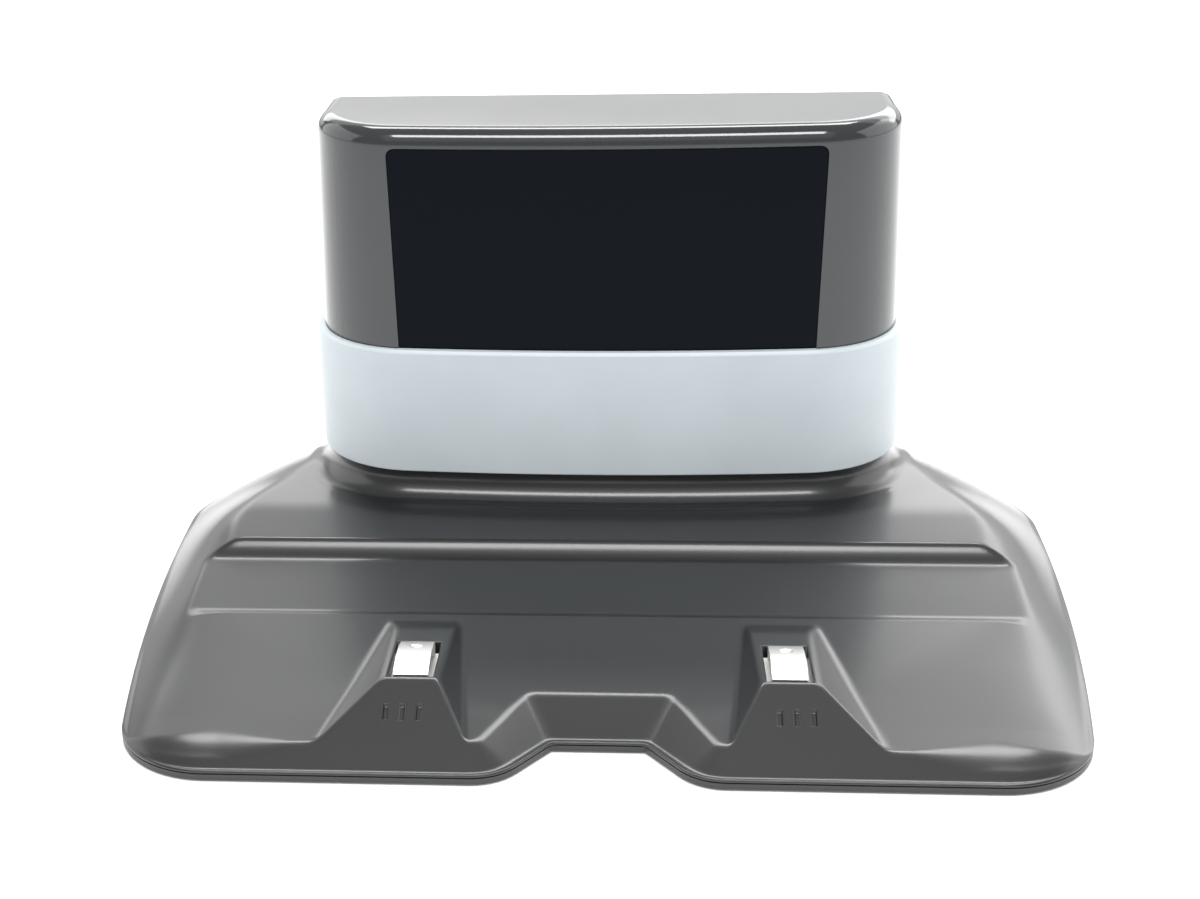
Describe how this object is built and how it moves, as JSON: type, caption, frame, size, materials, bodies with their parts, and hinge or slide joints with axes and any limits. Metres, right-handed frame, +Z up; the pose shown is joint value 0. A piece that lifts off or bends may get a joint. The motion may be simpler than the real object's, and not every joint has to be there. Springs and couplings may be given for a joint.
{
  "type": "robot vacuum charging dock",
  "caption": "Floor dock for a robot vacuum: low black ramp base with sprung charging contacts and a front notch, under an upright tower with an infrared window and a grey band.",
  "frame": {"origin": "under the middle of the dock, on the floor it stands on", "axes": "+X to the right seen from the front, +Y to the back where the tower stands, +Z up"},
  "size_m": [0.28, 0.187, 0.139],
  "materials": {
    "base_black": "fine spark-eroded satin black",
    "plate_black": "satin black",
    "foot_rubber": "matt black rubber",
    "screw_steel": "zinc-plated steel",
    "band_grey": "satin light cool grey",
    "shell_black": "high-gloss black",
    "window_black": "polished infrared-pass black",
    "rear_black": "satin black",
    "board_green": "solder-masked laminate",
    "hood_black": "matt black",
    "emitter_smoke": "smoky clear epoxy",
    "lamp_white": "diffuse white",
    "jack_black": "moulded black",
    "pin_nickel": "nickel plate",
    "link_white": "flat cable",
    "socket_white": "moulded nylon",
    "contact_nickel": "nickel-plated spring strip",
    "holder_black": "moulded black",
    "spring_steel": "drawn wire",
    "lead_red": "insulated wire",
    "lead_black": "insulated wire"
  },
  "bodies": {
    "dock": {"base_cover": "base_black", "base_plate": "plate_black", "foot_front_left": "foot_rubber", "foot_front_right": "foot_rubber", "foot_rear_left": "foot_rubber", "foot_rear_right": "foot_rubber", "base_screws": "screw_steel", "trim_band": "band_grey", "tower_shell": "shell_black", "ir_window": "window_black", "rear_cover": "rear_black", "rear_screws": "screw_steel", "signal_board": "board_green", "emitter_hood": "hood_black", "emitter_left": "emitter_smoke", "emitter_middle": "emitter_smoke", "emitter_right": "emitter_smoke", "status_lamp": "lamp_white", "signal_screws": "screw_steel", "main_board": "board_green", "main_screws": "screw_steel", "dc_jack": "jack_black", "dc_pin": "pin_nickel", "board_link": "link_white", "link_socket_low": "socket_white", "link_socket_high": "socket_white", "contact_holder_left": "holder_black", "contact_holder_right": "holder_black", "contact_spring_left": "spring_steel", "contact_spring_right": "spring_steel", "lead_left": "lead_red", "lead_right": "lead_black"},
    "left_contact": {"contact_left": "contact_nickel"},
    "right_contact": {"contact_right": "contact_nickel"}
  },
  "joints": [
    {"name": "left_contact_press", "type": "slide", "parent": "dock", "child": "left_contact", "axis": [0, 0, -1], "range_m": [0, 0.003], "stiffness_N_per_m": 300, "springref_m": -0.004, "deforming": ["contact_spring_left"]},
    {"name": "right_contact_press", "type": "slide", "parent": "dock", "child": "right_contact", "axis": [0, 0, -1], "range_m": [0, 0.003], "stiffness_N_per_m": 300, "springref_m": -0.004, "deforming": ["contact_spring_right"]}
  ]
}
